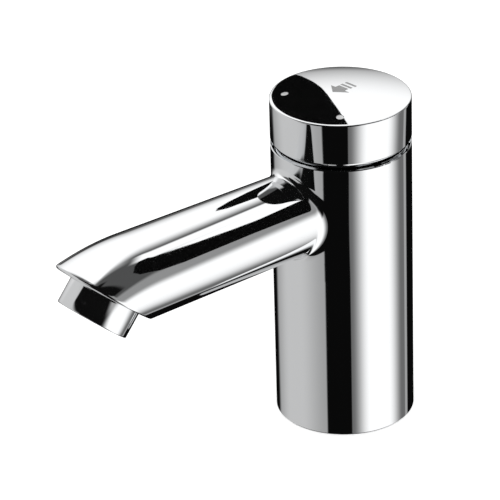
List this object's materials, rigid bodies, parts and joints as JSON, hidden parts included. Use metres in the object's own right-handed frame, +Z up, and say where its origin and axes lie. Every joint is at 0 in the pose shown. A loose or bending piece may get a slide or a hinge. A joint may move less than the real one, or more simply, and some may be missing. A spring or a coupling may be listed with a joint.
{
  "type": "push timed tap",
  "caption": "Deck-mounted self-closing mixer tap with a round upright body, a long spout that droops to an angled outlet, and a domed push cap that turns to mix hot and cold.",
  "frame": {"origin": "centre of the body's base, on the deck that the tap stands on", "axes": "+Z up along the body's axis, -Y along the spout towards the user, +X to the user's right when facing the tap"},
  "size_m": [0.048, 0.1396, 0.12],
  "materials": {
    "chrome_plate": "mirror-bright chrome plating on cast and turned brass",
    "raw_brass": "machined, unplated",
    "stainless_steel": "drawn or turned, plain",
    "seal_rubber": "moulded, matt black",
    "disc_ceramic": "lapped alumina",
    "housing_plastic": "moulded acetal",
    "moving_plastic": "moulded, dark grey",
    "stop_plastic": "moulded, pale grey",
    "aerator_plastic": "moulded, pale grey",
    "dot_enamel": "filled enamel, light grey as in the greyscale photograph"
  },
  "bodies": {
    "root": {"body": "chrome_plate", "base_seal": "seal_rubber", "inlet_block": "raw_brass", "block_o_ring": "seal_rubber", "retaining_ring": "stainless_steel", "inlet_seals": "seal_rubber", "cartridge_base": "housing_plastic", "fixed_disc": "disc_ceramic", "cartridge_housing": "housing_plastic", "cartridge_o_rings": "seal_rubber", "stop_ring": "stop_plastic", "cartridge_nut": "raw_brass", "aerator_collar": "chrome_plate", "aerator_gasket": "seal_rubber", "aerator_insert": "aerator_plastic", "inlet_strainer": "stainless_steel", "flow_regulator": "aerator_plastic"},
    "selector": {"moving_disc": "disc_ceramic", "selector_sleeve": "moving_plastic", "thrust_washer": "moving_plastic", "guide_bush": "moving_plastic", "rod_seal": "seal_rubber", "timing_screw": "stainless_steel", "return_spring": "stainless_steel"},
    "plunger": {"push_cap": "chrome_plate", "temperature_dots": "dot_enamel", "cap_carrier": "housing_plastic", "cap_grub_screw": "stainless_steel", "push_rod": "stainless_steel", "piston": "moving_plastic", "piston_lip_seal": "seal_rubber", "valve_washer": "seal_rubber", "washer_screw": "stainless_steel"}
  },
  "joints": [
    {"name": "temperature_turn", "type": "hinge", "parent": "root", "child": "selector", "pos_m": [0, 0, 0.1], "axis": [0, 0, 1], "range_deg": [-49.6, 40.4]},
    {"name": "cap_push", "type": "slide", "parent": "selector", "child": "plunger", "axis": [0, 0, 1], "range_m": [-0.0018, 0], "stiffness_N_per_m": 3000, "springref_m": 0.005, "deforming": ["return_spring"]}
  ]
}
